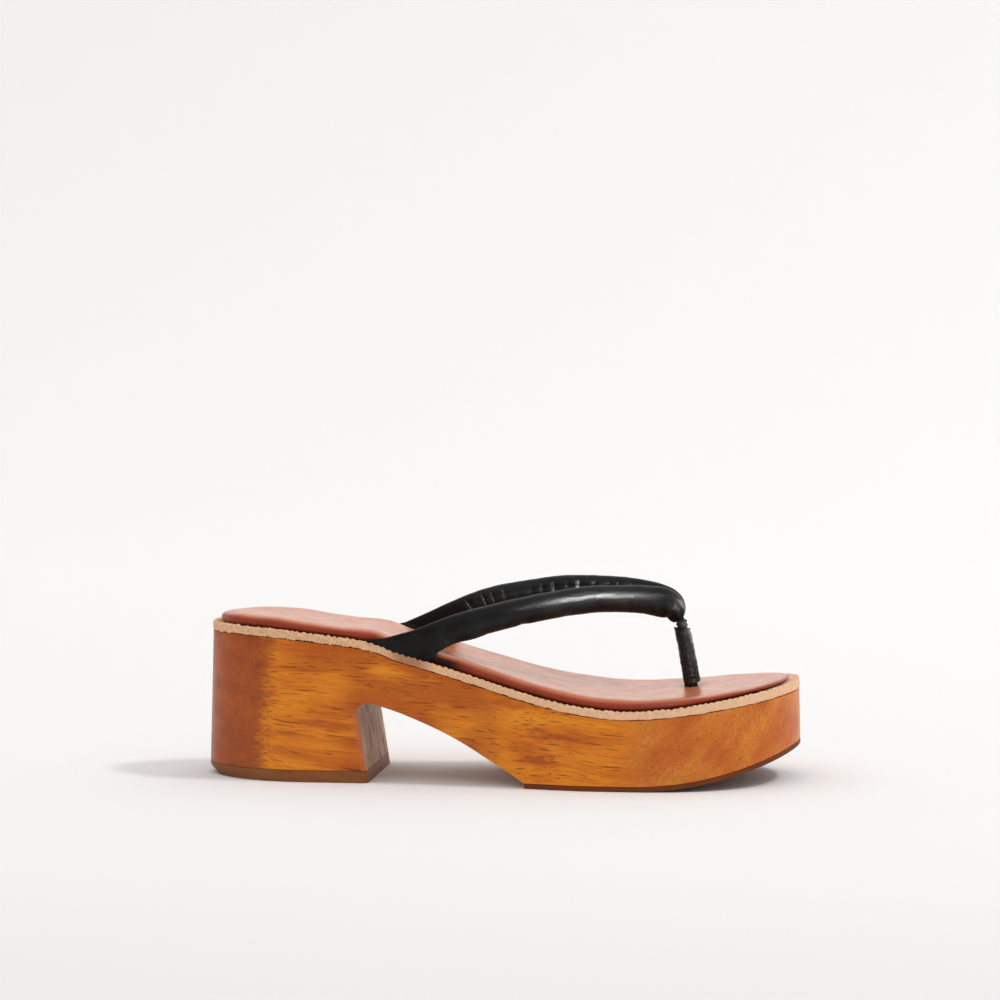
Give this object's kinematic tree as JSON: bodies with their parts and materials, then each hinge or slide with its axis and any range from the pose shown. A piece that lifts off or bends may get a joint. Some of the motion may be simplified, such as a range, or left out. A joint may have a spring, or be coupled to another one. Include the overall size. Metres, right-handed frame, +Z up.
{
  "type": "toe post sandal",
  "caption": "Right toe post sandal with a lacquered wooden block-heel platform, rubber treads, padded leather footbed and rolled black straps.",
  "frame": {"origin": "on the floor under the middle of the sole's length and width", "axes": "+X from heel to toe, +Y towards the big toe side, +Z up"},
  "size_m": [0.2569, 0.091, 0.0854],
  "materials": {
    "lacquered_wood": "satin lacquer",
    "brown_rubber": "matt",
    "raw_leather": "raw cut edge",
    "cognac_leather": "smooth, semi-gloss",
    "black_leather": "soft, semi-gloss",
    "sleeve_leather": "wrinkled, semi-gloss",
    "black_thread": "matt thread"
  },
  "bodies": {
    "root": {"wooden_sole": "lacquered_wood", "heel_lift": "brown_rubber", "forefoot_outsole": "brown_rubber", "leather_midsole": "raw_leather", "footbed": "cognac_leather", "strap_upper": "black_leather", "toe_post_sleeve": "sleeve_leather", "neck_binding": "black_thread"}
  },
  "joints": []
}
